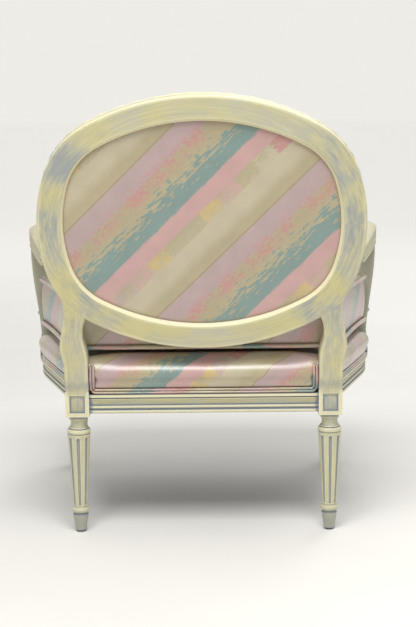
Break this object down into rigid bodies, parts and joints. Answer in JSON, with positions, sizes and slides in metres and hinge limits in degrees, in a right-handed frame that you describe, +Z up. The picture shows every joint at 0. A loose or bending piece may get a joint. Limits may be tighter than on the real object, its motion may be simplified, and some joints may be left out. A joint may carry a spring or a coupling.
{
  "type": "oval-back armchair",
  "caption": "Painted wood armchair with a leaned oval back, open arms on curved posts, fluted turned legs, a tight deck and a loose notched seat cushion in striped fabric.",
  "frame": {"origin": "middle of the chair's footprint, on the floor under the glides", "axes": "+Z up, -Y the way the sitter faces, +X to the sitter's left"},
  "size_m": [0.748, 0.6553, 0.8498],
  "materials": {
    "painted_wood": "cream paint with a blue-grey rubbed glaze, satin",
    "bare_wood": "unfinished beech",
    "stripe_fabric": "satin cotton with broad painterly stripes",
    "webbing": "woven jute",
    "padding": "foam and cotton felt",
    "dust_cloth": "thin dark cambric",
    "glide_plastic": "dark moulded glide"
  },
  "bodies": {
    "chair_frame": {"rear_leg_left": "painted_wood", "rear_leg_right": "painted_wood", "front_leg_left": "painted_wood", "front_leg_right": "painted_wood", "rear_seat_rail": "painted_wood", "side_seat_rail_left": "painted_wood", "side_seat_rail_right": "painted_wood", "front_seat_rail": "painted_wood", "crest_rail": "painted_wood", "back_bottom_rail": "painted_wood", "arm_left": "painted_wood", "arm_right": "painted_wood", "arm_post_left": "painted_wood", "arm_post_right": "painted_wood", "corner_blocks": "bare_wood", "seat_dowels": "bare_wood", "back_dowels": "bare_wood", "arm_dowels": "bare_wood", "back_board": "bare_wood", "back_outer_cover": "stripe_fabric", "back_inner_cover": "stripe_fabric", "deck_cover": "stripe_fabric", "back_front_welt": "stripe_fabric", "deck_welt": "stripe_fabric", "seat_webbing_long": "webbing", "seat_webbing_cross": "webbing", "back_webbing": "webbing", "seat_hessian": "webbing", "deck_pad": "padding", "back_pad": "padding", "dust_cover": "dust_cloth", "foot_glides": "glide_plastic"},
    "cushion": {"cushion_core": "padding", "cushion_cover": "stripe_fabric", "cushion_top_welt": "stripe_fabric", "cushion_bottom_welt": "stripe_fabric"}
  },
  "joints": [
    {"name": "cushion_lift", "type": "slide", "parent": "chair_frame", "child": "cushion", "axis": [0, 0, 1], "range_m": [0, 0.045]}
  ]
}
